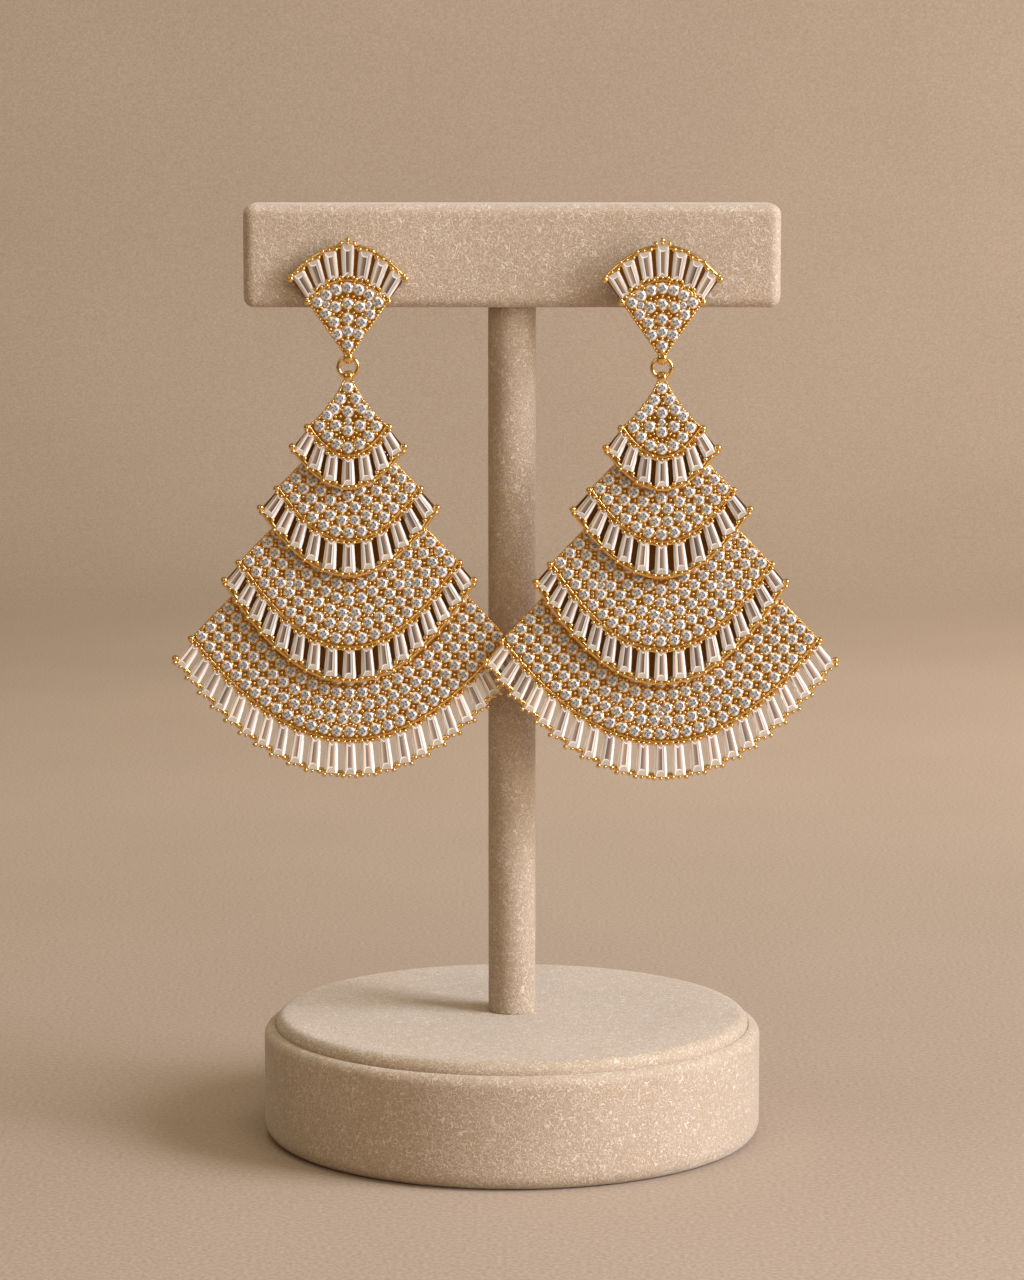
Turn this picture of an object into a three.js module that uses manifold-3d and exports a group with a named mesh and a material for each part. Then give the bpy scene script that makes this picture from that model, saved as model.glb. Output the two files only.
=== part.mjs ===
// A pair of gold chandelier earrings pinned to a covered T-shaped display stand, in millimetres, +Z up.
// The origin is the middle of the stand's underside. The viewer looks along +Y, so the front of each piece faces -Y.
// Each earring is a fan-shaped stud, a jump ring and a drop of four overlapping fans. A fan is a plate set with
// small round stones, with a row of tapered baguette stones held between two rails along its curved edge.

import * as THREE from 'three';
import { mergeVertices } from 'three/addons/utils/BufferGeometryUtils.js';
import { ConvexGeometry } from 'three/addons/geometries/ConvexGeometry.js';
import Module from 'manifold-3d';

const wasm = await Module();
wasm.setup();

// Clearance between two pieces that meet
const SEAT_GAP = 0.3;

// Display stand
const BASE_RADIUS = 35.4;
const BASE_HEIGHT = 15.8;
const BASE_EDGE_ROUND = 2.2;
const DISC_RADIUS = 33.7;
const DISC_RISE = 1.7;
const DISC_SINK = 1.2;
const DISC_EDGE_ROUND = 1.3;
const STEM_RADIUS = 3.35;
const STAND_HEIGHT = 132.5;
const BAR_WIDTH = 74.6;
const BAR_HEIGHT = 14.3;
const BAR_DEPTH = 13;
const BAR_CORNER_ROUND = 0.4;
const BAR_EDGE_ROUND = 1;

// Where the two earrings are pinned: sideways from the stem, below the bar's underside, and off the bar's face.
// Their drops are wider than the space between them, so the right one is pinned further out and hangs in front.
const LEFT_EARRING_X = -22.7;
const RIGHT_EARRING_X = 20.7;
const HINGE_BELOW_BAR = 6.8;
const LEFT_STANDOFF = 1;
const RIGHT_IN_FRONT = 2.1;

// Ear post
const POST_RADIUS = 0.4;
const POST_LENGTH = 10;
const POST_HEIGHT_ABOVE_HINGE = 8.6;

// Jump ring and the two eyes that it links
const RING_WIRE_RADIUS = 0.26;
const RING_MEAN_RADIUS = 1.34;
const EYE_WIRE_RADIUS = 0.2;
const EYE_MEAN_RADIUS = 0.7;

// Castings
const PLATE_THICKNESS = 1;
const RAIL_WIDTH = 0.5;
const RAIL_DEPTH = 0.8;
const BACKING_THICKNESS = 0.4;
const BEAD_RADIUS = 0.42;
const PEG_RADIUS = 0.5;

// Round stones
const ROUND_STONE_RADIUS = 0.72;
const ROUND_STONE_RISE = 0.35;
const ROUND_STONE_SINK = 0.1;
const TABLE_SHARE = 0.58;

// Baguette stones: their widths, how far their ends go into the rails, and the depths and insets of their facets
const BAGUETTE_INNER_WIDTH = 1.5;
const BAGUETTE_OUTER_WIDTH = 1.8;
const BAGUETTE_HOLD = 0.12;
const BAGUETTE_BACK = 0.25;
const BAGUETTE_STEP = 0.85;
const BAGUETTE_TABLE = 1.1;
const BAGUETTE_STEP_INSET = 0.2;
const BAGUETTE_TABLE_INSET = 0.4;

// Fan of the stud: heights are above the hinge, which is the top of the jump ring
const STUD_APEX_HEIGHT = 0.65;
const STUD_APEX_HALF = 0.5;
const STUD_FAN = {
  rimHalf: 5.3, rimCorner: 7.5, rimMiddle: 10.7,
  edgeHalf: 8.05, edgeCorner: 10.95, edgeMiddle: 15.5, baguettes: 7,
};

// The drop: its length from the lower eye to the last rail, and half its width at the last rail's ends
const DROP_LENGTH = 55.5;
const DROP_HALF_WIDTH = 24.5;
const DROP_APEX_DEPTH = 0.65;
const DROP_APEX_HALF = 0.6;
const TIER_STEP = 1.75;
const DROP_TILT = THREE.MathUtils.degToRad(6.9);
const FAN_SIDE_RISE = 1.04;
const PLATE_OVERLAP = 1.4;

// The four fans of the drop, top to bottom. Half widths are shares of DROP_HALF_WIDTH and depths below the lower
// eye are shares of DROP_LENGTH, for the ends and the middle of the plate's rim and of the outer rail (the edge).
const DROP_FANS = [
  { rimHalf: 0.218, rimCorner: 0.122, rimMiddle: 0.195,
    edgeHalf: 0.322, edgeCorner: 0.176, edgeMiddle: 0.278, baguettes: 7 },
  { rimHalf: 0.394, rimCorner: 0.275, rimMiddle: 0.406,
    edgeHalf: 0.506, edgeCorner: 0.328, edgeMiddle: 0.496, baguettes: 11 },
  { rimHalf: 0.615, rimCorner: 0.460, rimMiddle: 0.673,
    edgeHalf: 0.716, edgeCorner: 0.509, edgeMiddle: 0.762, baguettes: 17 },
  { rimHalf: 0.892, rimCorner: 0.650, rimMiddle: 0.906,
    edgeHalf: 1.000, edgeCorner: 0.706, edgeMiddle: 1.000, baguettes: 23 },
];

// Rows of round stones on the two pointed plates, from the point outwards. reach is the row's middle, as a share of
// the way from the point to the rim's middle. spread is half the row's width, as a share of half the rim's width.
// lift is how far the row's ends lie back towards the point, as a share of the whole way.
const STUD_STONE_ROWS = [
  { stones: 1, reach: 0.11, spread: 0, lift: 0 },
  { stones: 3, reach: 0.303, spread: 0.278, lift: 0.04 },
  { stones: 3, reach: 0.475, spread: 0.36, lift: 0.05 },
  { stones: 5, reach: 0.68, spread: 0.58, lift: 0.14 },
  { stones: 7, reach: 0.9, spread: 0.79, lift: 0.2 },
];
const TOP_FAN_STONE_ROWS = [
  { stones: 1, reach: 0.08, spread: 0, lift: 0 },
  { stones: 2, reach: 0.235, spread: 0.2, lift: 0 },
  { stones: 3, reach: 0.41, spread: 0.35, lift: 0.04 },
  { stones: 5, reach: 0.67, spread: 0.54, lift: 0.21 },
  { stones: 7, reach: 0.9, spread: 0.73, lift: 0.29 },
];

const RIGHT_STANDOFF = LEFT_STANDOFF + RIGHT_IN_FRONT;
const BAR_UNDERSIDE = STAND_HEIGHT - BAR_HEIGHT;
const HINGE_HEIGHT = BAR_UNDERSIDE - HINGE_BELOW_BAR;

const GOLD = { color: 0xd9a441, roughness: 0.22, metalness: 1 };
const CLEAR_STONE = { color: 0xe9dccf, roughness: 0.08, metalness: 0 };
const STONE_SET_GOLD = { color: 0xdcc39a, roughness: 0.25, metalness: 0.5 };
const BEIGE_SUEDE = { color: 0xcdb79b, roughness: 0.95, metalness: 0 };

function mesh(name, geometry, finish) {
  const made = new THREE.Mesh(geometry, new THREE.MeshStandardMaterial(finish));
  made.name = name;
  return made;
}

// Solids: joining and cutting closed meshes

function closedGeometry(geometry) {
  const bare = geometry.clone();
  for (const attribute of Object.keys(bare.attributes)) {
    if (attribute !== 'position') bare.deleteAttribute(attribute);
  }
  return mergeVertices(bare, 1e-5);
}

function solidOf(geometry) {
  const merged = closedGeometry(geometry);
  return new wasm.Manifold(new wasm.Mesh({
    numProp: 3,
    vertProperties: Float32Array.from(merged.attributes.position.array),
    triVerts: Uint32Array.from(merged.index.array),
  }));
}

function geometryOf(solid) {
  const found = solid.getMesh();
  const geometry = new THREE.BufferGeometry();
  geometry.setAttribute('position', new THREE.BufferAttribute(found.vertProperties, 3));
  geometry.setIndex(new THREE.BufferAttribute(found.triVerts, 1));
  geometry.computeVertexNormals();
  return geometry;
}

function joined(geometries) {
  return geometryOf(geometries.map(solidOf).reduce((whole, piece) => whole.add(piece)));
}

// A flat outline in X and Z, given thickness towards the front from the plane y = back
function plate(outline, thickness, back = 0) {
  const shape = new THREE.Shape(outline);
  const geometry = new THREE.ExtrudeGeometry(shape, { depth: thickness, bevelEnabled: false });
  geometry.rotateX(Math.PI / 2);
  geometry.translate(0, back, 0);
  return geometry;
}

// Curves of the fans

// The bowed line of a rim or rail: its middle height, and the half width and height of its ends
function bow(middle, half, corner) {
  return { middle, half, corner, rise: (corner - middle) / half ** 2 };
}

function heightOn(curve, x) {
  return curve.middle + curve.rise * x * x;
}

// Points at equal distances along a curve, at the given shares of its length, moved sideways off it.
// A positive offset is away from the fan's point, whichever way the fan opens.
function pointsAlong(curve, shares, offset = 0) {
  const steps = 240;
  const lengths = [0];
  const xAt = (i) => curve.half * (2 * i / steps - 1);
  for (let i = 1; i <= steps; i++) {
    const run = xAt(i) - xAt(i - 1);
    const climb = heightOn(curve, xAt(i)) - heightOn(curve, xAt(i - 1));
    lengths.push(lengths[i - 1] + Math.hypot(run, climb));
  }
  const outward = -Math.sign(curve.rise);
  return shares.map((share) => {
    const wanted = share * lengths[steps];
    let i = 1;
    while (i < steps && lengths[i] < wanted) i++;
    const part = (wanted - lengths[i - 1]) / (lengths[i] - lengths[i - 1]);
    const x = xAt(i - 1 + part);
    const normal = new THREE.Vector2(-2 * curve.rise * x, 1).normalize().multiplyScalar(outward * offset);
    return new THREE.Vector2(x, heightOn(curve, x)).add(normal);
  });
}

function evenShares(count) {
  return Array.from({ length: count + 1 }, (_, i) => i / count);
}

// The middles of the straight segments that a curve is drawn with
function middlesAlong(curve, segments, offset) {
  const points = pointsAlong(curve, evenShares(segments), offset);
  return points.slice(1).map((point, i) => point.clone().add(points[i]).multiplyScalar(0.5));
}

// A flat rail along a curve
function rail(curve, offset, segments) {
  const shares = evenShares(segments);
  const near = pointsAlong(curve, shares, offset);
  const far = pointsAlong(curve, shares, offset + RAIL_WIDTH);
  return plate([...near, ...far.reverse()], RAIL_DEPTH);
}

// Stones

// A tapered step-cut stone lying from one point to another, with its table to the front
function baguette(from, to, innerWidth, outerWidth) {
  const along = to.clone().sub(from).normalize();
  const across = new THREE.Vector2(-along.y, along.x);
  const levels = [
    { depth: BAGUETTE_BACK, inset: 0 },
    { depth: BAGUETTE_STEP, inset: BAGUETTE_STEP_INSET },
    { depth: BAGUETTE_TABLE, inset: BAGUETTE_TABLE_INSET },
  ];
  const corners = levels.flatMap(({ depth, inset }) => {
    const ends = [
      { at: from.clone().addScaledVector(along, inset), half: innerWidth / 2 - inset },
      { at: to.clone().addScaledVector(along, -inset), half: outerWidth / 2 - inset },
    ];
    return ends.flatMap(({ at, half }) => [-half, half].map((side) => {
      const corner = at.clone().addScaledVector(across, side);
      return new THREE.Vector3(corner.x, -depth, corner.y);
    }));
  });
  return new ConvexGeometry(corners);
}

// A round stone with a table and eight crown facets, sunk a little into a plate
function roundStone(x, z) {
  const height = ROUND_STONE_RISE + ROUND_STONE_SINK;
  const tableRadius = ROUND_STONE_RADIUS * TABLE_SHARE;
  const geometry = new THREE.CylinderGeometry(ROUND_STONE_RADIUS, tableRadius, height, 8);
  geometry.translate(x, -(PLATE_THICKNESS - ROUND_STONE_SINK) - height / 2, z);
  return geometry;
}

// Stones in the bowed rows of a pointed plate
function pointedRows(rim, apexHeight, rows) {
  const way = rim.middle - apexHeight;
  return rows.flatMap(({ stones, reach, spread, lift }) => {
    const middle = apexHeight + reach * way;
    if (stones === 1) return [new THREE.Vector2(0, middle)];
    const row = bow(middle, spread * rim.half, middle - lift * way);
    return pointsAlong(row, evenShares(stones - 1));
  });
}

// Pieces

// A small upright loop of wire seen edge on, which holds the jump ring
function eye(z) {
  const geometry = new THREE.TorusGeometry(EYE_MEAN_RADIUS, EYE_WIRE_RADIUS, 5, 12);
  geometry.rotateY(Math.PI / 2);
  geometry.translate(0, 0, z);
  return geometry;
}

function bead(point) {
  const geometry = new THREE.SphereGeometry(BEAD_RADIUS, 6, 4);
  geometry.translate(point.x, -RAIL_DEPTH, point.y);
  return geometry;
}

// A row of baguettes between two rails, with a bead at each end of the outer rail, and a backing where nothing
// else lies behind the stones
function baguetteRow(name, rim, edge, count, backed) {
  const inner = middlesAlong(rim, count, SEAT_GAP + RAIL_WIDTH - BAGUETTE_HOLD);
  const outer = middlesAlong(edge, count, BAGUETTE_HOLD - RAIL_WIDTH);
  const stones = inner.map((from, i) => baguette(from, outer[i], BAGUETTE_INNER_WIDTH, BAGUETTE_OUTER_WIDTH));
  const rails = [
    rail(rim, SEAT_GAP, count),
    rail(edge, -RAIL_WIDTH, count),
  ];
  const beads = pointsAlong(edge, [0, 1], -RAIL_WIDTH / 2).map(bead);
  const backing = backed ? [backingBand(rim, edge, count)] : [];
  return mesh(name, joined([...rails, ...backing, ...stones, ...beads]), CLEAR_STONE);
}

function backingBand(rim, edge, count) {
  const across = evenShares(count);
  const near = pointsAlong(rim, across, SEAT_GAP + RAIL_WIDTH / 2);
  const far = pointsAlong(edge, across, -RAIL_WIDTH / 2);
  return plate([...near, ...far.reverse()], BACKING_THICKNESS);
}

function fanCurves(fan, halfScale = 1, heightScale = 1) {
  return {
    rim: bow(fan.rimMiddle * heightScale, fan.rimHalf * halfScale, fan.rimCorner * heightScale),
    edge: bow(fan.edgeMiddle * heightScale, fan.edgeHalf * halfScale, fan.edgeCorner * heightScale),
  };
}

// The stud's pointed plate, standing on its point, with the eye for the jump ring and round stones
function studPlate(name) {
  const { rim } = fanCurves(STUD_FAN);
  const outline = [
    new THREE.Vector2(-STUD_APEX_HALF, STUD_APEX_HEIGHT),
    ...pointsAlong(rim, evenShares(8)),
    new THREE.Vector2(STUD_APEX_HALF, STUD_APEX_HEIGHT),
  ];
  const back = PLATE_THICKNESS / 2;
  const fan = [
    plate(outline, PLATE_THICKNESS),
    ...pointedRows(rim, STUD_APEX_HEIGHT, STUD_STONE_ROWS).map((p) => roundStone(p.x, p.y)),
  ].map((geometry) => geometry.translate(0, back, 0));
  return mesh(name, joined([...fan, eye(0)]), STONE_SET_GOLD);
}

// The plain pin behind the stud, which goes into the bar
function earPost(name) {
  const geometry = new THREE.CylinderGeometry(POST_RADIUS, POST_RADIUS, POST_LENGTH, 10);
  geometry.translate(0, PLATE_THICKNESS / 2 + SEAT_GAP + POST_LENGTH / 2, POST_HEIGHT_ABOVE_HINGE);
  return mesh(name, geometry, GOLD);
}

function jumpRing(name) {
  const geometry = new THREE.TorusGeometry(RING_MEAN_RADIUS, RING_WIRE_RADIUS, 6, 16);
  geometry.rotateX(Math.PI / 2);
  geometry.translate(0, 0, -RING_MEAN_RADIUS);
  return mesh(name, geometry, GOLD);
}

// The top fan's plate hangs by its eye and has hollow sides
function topFanPlate(rim) {
  const side = new THREE.QuadraticBezierCurve(
    new THREE.Vector2(DROP_APEX_HALF, -DROP_APEX_DEPTH),
    new THREE.Vector2(rim.half * 0.4, THREE.MathUtils.lerp(-DROP_APEX_DEPTH, rim.corner, 0.58)),
    new THREE.Vector2(rim.half, rim.corner),
  ).getPoints(5);
  const left = side.map((p) => new THREE.Vector2(-p.x, p.y));
  return [...left.slice(0, -1), ...pointsAlong(rim, evenShares(10)), ...side.reverse().slice(1)];
}

// A lower fan's plate is a bowed band. Its top edge is hidden behind the plate above it, and its sides lean in.
function bandPlate(rim, above, segments) {
  const middle = above.rim.middle + PLATE_OVERLAP;
  const fall = middle - rim.corner - FAN_SIDE_RISE * rim.half;
  const rise = above.rim.rise;
  const half = (-FAN_SIDE_RISE + Math.sqrt(FAN_SIDE_RISE ** 2 - 4 * rise * fall)) / (2 * rise);
  const top = bow(middle, half, middle + rise * half ** 2);
  const across = evenShares(segments);
  return [...pointsAlong(rim, across), ...pointsAlong(top, across).reverse()];
}

// A peg on the back of a plate, which carries the fan behind it
function peg(point) {
  const length = TIER_STEP - PLATE_THICKNESS - SEAT_GAP;
  const overlap = 0.2;
  const geometry = new THREE.CylinderGeometry(PEG_RADIUS, PEG_RADIUS, length + overlap, 8);
  geometry.translate(point.x, (length - overlap) / 2, point.y);
  return geometry;
}

function dropFans(side) {
  const curves = DROP_FANS.map((fan) => fanCurves(fan, DROP_HALF_WIDTH, -DROP_LENGTH));
  return DROP_FANS.flatMap((fan, tier) => {
    const { rim, edge } = curves[tier];
    const first = tier === 0;
    const outline = first ? topFanPlate(rim) : bandPlate(rim, curves[tier - 1], fan.baguettes);
    const last = tier === DROP_FANS.length - 1;
    const pieces = [plate(outline, PLATE_THICKNESS)];
    if (first) {
      pieces.push(...pointedRows(rim, -DROP_APEX_DEPTH, TOP_FAN_STONE_ROWS).map((p) => roundStone(p.x, p.y)));
      pieces.push(eye(0).translate(0, -PLATE_THICKNESS / 2, 0));
    }
    if (!last) pieces.push(...pointsAlong(rim, [0.32, 0.68], -PLATE_OVERLAP / 2).map(peg));
    const layer = new THREE.Group();
    layer.position.y = PLATE_THICKNESS / 2 + tier * TIER_STEP;
    layer.add(
      mesh(`${side}_fan_${tier + 1}_plate`, joined(pieces), STONE_SET_GOLD),
      baguetteRow(`${side}_fan_${tier + 1}_baguettes`, rim, edge, fan.baguettes, false),
    );
    return layer;
  });
}

// Everything of one earring, about the hinge where its jump ring hangs in the stud's eye
function earring(side, x, standoff) {
  const stud = fanCurves(STUD_FAN);
  const studRow = baguetteRow(`${side}_stud_baguettes`, stud.rim, stud.edge, STUD_FAN.baguettes, true);
  studRow.position.y = PLATE_THICKNESS / 2;
  const drop = new THREE.Group();
  drop.position.z = -2 * RING_MEAN_RADIUS;
  drop.rotation.x = -DROP_TILT;
  drop.add(...dropFans(side));
  const whole = new THREE.Group();
  whole.add(
    studPlate(`${side}_stud_plate`), studRow, earPost(`${side}_ear_post`), jumpRing(`${side}_jump_ring`), drop,
  );
  whole.position.set(x, hingeY(standoff), HINGE_HEIGHT);
  return whole;
}

function hingeY(standoff) {
  return -(BAR_DEPTH / 2 + standoff + PLATE_THICKNESS / 2);
}

// The round base, with a shallow seat in its top for the disc
function standBase() {
  const round = BASE_EDGE_ROUND;
  const seatRadius = DISC_RADIUS + SEAT_GAP;
  const rim = new THREE.Path();
  rim.moveTo(0, 0);
  rim.lineTo(BASE_RADIUS - round, 0);
  rim.absarc(BASE_RADIUS - round, round, round, -Math.PI / 2, 0);
  rim.absarc(BASE_RADIUS - round / 2, BASE_HEIGHT - round / 2, round / 2, 0, Math.PI / 2);
  rim.lineTo(seatRadius, BASE_HEIGHT);
  rim.lineTo(seatRadius, BASE_HEIGHT - DISC_SINK);
  rim.lineTo(0, BASE_HEIGHT - DISC_SINK);
  return mesh('stand_base', turned(rim.getPoints(2), 48), BEIGE_SUEDE);
}

function standDisc() {
  const low = BASE_HEIGHT - DISC_SINK + SEAT_GAP;
  const high = BASE_HEIGHT + DISC_RISE;
  const round = DISC_EDGE_ROUND;
  const profile = new THREE.Path();
  profile.moveTo(0, low);
  profile.lineTo(DISC_RADIUS, low);
  profile.absarc(DISC_RADIUS - round, high - round, round, 0, Math.PI / 2);
  profile.lineTo(0, high);
  return mesh('stand_disc', turned(profile.getPoints(2), 48), BEIGE_SUEDE);
}

// A lathed solid about +Z
function turned(profile, sides) {
  const geometry = new THREE.LatheGeometry(profile, sides);
  geometry.rotateX(Math.PI / 2);
  return closedGeometry(geometry);
}

function standStem() {
  const low = BASE_HEIGHT + DISC_RISE + SEAT_GAP;
  const length = BAR_UNDERSIDE - SEAT_GAP - low;
  const geometry = new THREE.CylinderGeometry(STEM_RADIUS, STEM_RADIUS, length, 32);
  geometry.rotateX(Math.PI / 2);
  geometry.translate(0, 0, low + length / 2);
  return mesh('stand_stem', geometry, BEIGE_SUEDE);
}

// The crossbar, drilled from the front for the two posts
function standBar() {
  const inner = BAR_EDGE_ROUND;
  const width = BAR_WIDTH / 2 - inner;
  const height = BAR_HEIGHT / 2 - inner;
  const round = BAR_CORNER_ROUND;
  const outline = new THREE.Shape();
  outline.absarc(width - round, height - round, round, 0, Math.PI / 2);
  outline.absarc(-width + round, height - round, round, Math.PI / 2, Math.PI);
  outline.absarc(-width + round, -height + round, round, Math.PI, Math.PI * 1.5);
  outline.absarc(width - round, -height + round, round, Math.PI * 1.5, Math.PI * 2);
  const block = new THREE.ExtrudeGeometry(outline, {
    depth: BAR_DEPTH - 2 * inner, bevelThickness: inner, bevelSize: inner, bevelSegments: 3, curveSegments: 3,
  });
  block.rotateX(Math.PI / 2);
  block.translate(0, BAR_DEPTH / 2 - inner, BAR_UNDERSIDE + BAR_HEIGHT / 2);
  const pinned = [[LEFT_EARRING_X, LEFT_STANDOFF], [RIGHT_EARRING_X, RIGHT_STANDOFF]];
  const solid = pinned.reduce((bar, [x, standoff]) => {
    const hole = new THREE.CylinderGeometry(POST_RADIUS + SEAT_GAP, POST_RADIUS + SEAT_GAP, POST_LENGTH * 2, 10);
    const end = hingeY(standoff) + PLATE_THICKNESS / 2 + POST_LENGTH + 2 * SEAT_GAP;
    hole.translate(x, end - POST_LENGTH, HINGE_HEIGHT + POST_HEIGHT_ABOVE_HINGE);
    return bar.subtract(solidOf(hole));
  }, solidOf(block));
  return mesh('stand_crossbar', geometryOf(solid), BEIGE_SUEDE);
}

const earringsOnStand = new THREE.Group();
earringsOnStand.add(
  standBase(),
  standDisc(),
  standStem(),
  standBar(),
  earring('left', LEFT_EARRING_X, LEFT_STANDOFF),
  earring('right', RIGHT_EARRING_X, RIGHT_STANDOFF),
);

export default earringsOnStand;
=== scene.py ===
import math
import random

import bmesh
import bpy
from mathutils import Matrix, Vector


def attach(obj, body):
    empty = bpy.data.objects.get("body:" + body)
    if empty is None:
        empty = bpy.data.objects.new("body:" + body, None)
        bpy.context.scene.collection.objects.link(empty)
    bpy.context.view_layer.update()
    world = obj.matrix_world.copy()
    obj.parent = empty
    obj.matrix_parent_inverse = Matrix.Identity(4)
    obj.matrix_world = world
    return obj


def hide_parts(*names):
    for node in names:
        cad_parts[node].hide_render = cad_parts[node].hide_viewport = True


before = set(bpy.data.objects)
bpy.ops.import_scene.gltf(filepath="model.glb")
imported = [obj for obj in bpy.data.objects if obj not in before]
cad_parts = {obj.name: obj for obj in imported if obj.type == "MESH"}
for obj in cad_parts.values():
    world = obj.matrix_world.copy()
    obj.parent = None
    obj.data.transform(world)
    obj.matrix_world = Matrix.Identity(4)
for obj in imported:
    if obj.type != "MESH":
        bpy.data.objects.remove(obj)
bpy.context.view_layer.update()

# The display stand
# A round weighted base with a raised disc, a round stem and a square-edged crossbar, all of board.
# Each is covered in beige suede cloth, with a short curly nap that is lighter at the tips.


def new_material(name):
    """A material with nodes, and its shader."""
    material = bpy.data.materials.new(name)
    material.use_nodes = True
    return material, material.node_tree.nodes["Principled BSDF"]


def add_node(material, kind, **values):
    """A node of that kind, with its input sockets set by name."""
    node = material.node_tree.nodes.new(kind)
    for socket, value in values.items():
        node.inputs[socket.replace("_", " ")].default_value = value
    return node


def link(material, source, output, target, socket):
    """Joins an output of one node to an input socket of another."""
    material.node_tree.links.new(source.outputs[output], target.inputs[socket])


def colour_ramp(material, stops):
    """A colour ramp from (place, linear colour) pairs."""
    ramp = material.node_tree.nodes.new("ShaderNodeValToRGB")
    band = ramp.color_ramp
    while len(band.elements) < len(stops):
        band.elements.new(0.5)
    for element, (place, colour) in zip(band.elements, stops):
        element.position = place
        element.color = (*colour, 1)
    return ramp


def multiplied(material, first, first_out, second, second_out):
    """A mix node that multiplies two colours; its result is its third output."""
    both = material.node_tree.nodes.new("ShaderNodeMix")
    both.data_type = "RGBA"
    both.blend_type = "MULTIPLY"
    both.inputs["Factor"].default_value = 1
    material.node_tree.links.new(first.outputs[first_out], both.inputs[6])
    material.node_tree.links.new(second.outputs[second_out], both.inputs[7])
    return both


def suede_cloth():
    """Beige cloth whose nap is fine curled hairs, slightly raised, in softly brushed patches."""
    suede, shader = new_material("suede_cloth")
    shader.inputs["Roughness"].default_value = 0.95
    shader.inputs["Specular IOR Level"].default_value = 0.1
    shader.inputs["Sheen Weight"].default_value = 0.6
    shader.inputs["Sheen Roughness"].default_value = 0.35
    shader.inputs["Sheen Tint"].default_value = (1, 0.95, 0.88, 1)
    nodes = suede.node_tree.nodes
    where = nodes.new("ShaderNodeTexCoord")

    def math_node(operation, a, a_out, b=None, b_out=None, value=0.5):
        node = nodes.new("ShaderNodeMath")
        node.operation = operation
        link(suede, a, a_out, node, 0)
        if b:
            link(suede, b, b_out, node, 1)
        else:
            node.inputs[1].default_value = value
        return node

    def hairs(scale, distortion, thin):
        """Thin curled lines, light where a hair lies: where a noise passes its middle value."""
        noise = add_node(suede, "ShaderNodeTexNoise", Scale=scale, Detail=1, Roughness=0.4,
                         Distortion=distortion)
        link(suede, where, "Object", noise, "Vector")
        off_middle = math_node("SUBTRACT", noise, "Fac")
        away = math_node("ABSOLUTE", off_middle, 0)
        line = nodes.new("ShaderNodeMapRange")
        line.interpolation_type = "SMOOTHSTEP"
        line.inputs["From Max"].default_value = thin
        line.inputs["To Min"].default_value = 1
        line.inputs["To Max"].default_value = 0
        link(suede, away, 0, line, "Value")
        return line

    long_hairs = hairs(scale=1250, distortion=1.2, thin=0.05)
    short_hairs = hairs(scale=2500, distortion=0.8, thin=0.08)
    fine_down = math_node("MULTIPLY", short_hairs, "Result", value=0.55)
    nap_height = math_node("MAXIMUM", long_hairs, "Result", fine_down, 0)
    nap = colour_ramp(suede, [
        (0.0, (0.468, 0.352, 0.240)),
        (0.5, (0.567, 0.457, 0.346)),
        (1.0, (0.752, 0.656, 0.552)),
    ])
    link(suede, nap_height, 0, nap, "Fac")
    brushed = add_node(suede, "ShaderNodeTexNoise", Scale=60, Detail=2)
    link(suede, where, "Object", brushed, "Vector")
    patches = colour_ramp(suede, [(0.35, (0.93, 0.92, 0.91)), (0.65, (1, 1, 1))])
    link(suede, brushed, "Fac", patches, "Fac")
    tinted = multiplied(suede, nap, "Color", patches, "Color")
    link(suede, tinted, 2, shader, "Base Color")
    raised = add_node(suede, "ShaderNodeBump", Strength=0.6, Distance=0.0001)
    link(suede, nap_height, 0, raised, "Height")
    link(suede, raised, "Normal", shader, "Normal")
    return suede


MM = 0.001
suede = suede_cloth()


def covered_piece(name, mesh, node):
    """A piece of the stand wrapped in the cloth, standing for its plain solid."""
    mesh.polygons.foreach_set("use_smooth", [True] * len(mesh.polygons))
    mesh.materials.append(suede)
    made = bpy.data.objects.new(name, mesh)
    bpy.context.scene.collection.objects.link(made)
    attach(made, "stand_and_studs")
    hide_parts(node)


def arc(middle_radius, middle_height, radius, start, end, steps=8):
    """Points of a rounded corner, in mm, with its angles in degrees from level."""
    turns = [math.radians(start + (end - start) * i / steps) for i in range(steps + 1)]
    return [(middle_radius + radius * math.cos(t), middle_height + radius * math.sin(t))
            for t in turns]


def turned_mesh(name, profile, sides=144):
    """A closed form turned about the upright axis from a profile of (radius, height) in mm."""
    points, faces = [], []
    for radius, height in profile[1:-1]:
        for k in range(sides):
            around = math.tau * k / sides
            points.append((radius * MM * math.cos(around), radius * MM * math.sin(around),
                           height * MM))
    rings = len(profile) - 2
    for i in range(rings - 1):
        for k in range(sides):
            after = (k + 1) % sides
            a, b = i * sides, (i + 1) * sides
            faces.append((a + k, a + after, b + after, b + k))
    for middle, ring, flip in ((profile[0], 0, True), (profile[-1], rings - 1, False)):
        points.append((0, 0, middle[1] * MM))
        centre = len(points) - 1
        for k in range(sides):
            a, b = ring * sides + k, ring * sides + (k + 1) % sides
            faces.append((centre, b, a) if flip else (centre, a, b))
    mesh = bpy.data.meshes.new(name)
    mesh.from_pydata(points, [], faces)
    return mesh


# The stand's sizes in mm. A second ring close by each rounded edge keeps the flat beside it flat.
BASE_RADIUS, FOOT_ROUND, RIM_ROUND = 35.4, 2.2, 1.4
DISC_RADIUS, DISC_ROUND, DISC_TOP = 33.7, 1.5, 17.5
STEM_RADIUS = 3.35
BAR_SIZE, BAR_UNDERSIDE, BAR_ROUND = (74.6, 13, 14.3), 118.2, 1.5
FLAT_MARGIN = 0.4

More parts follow.
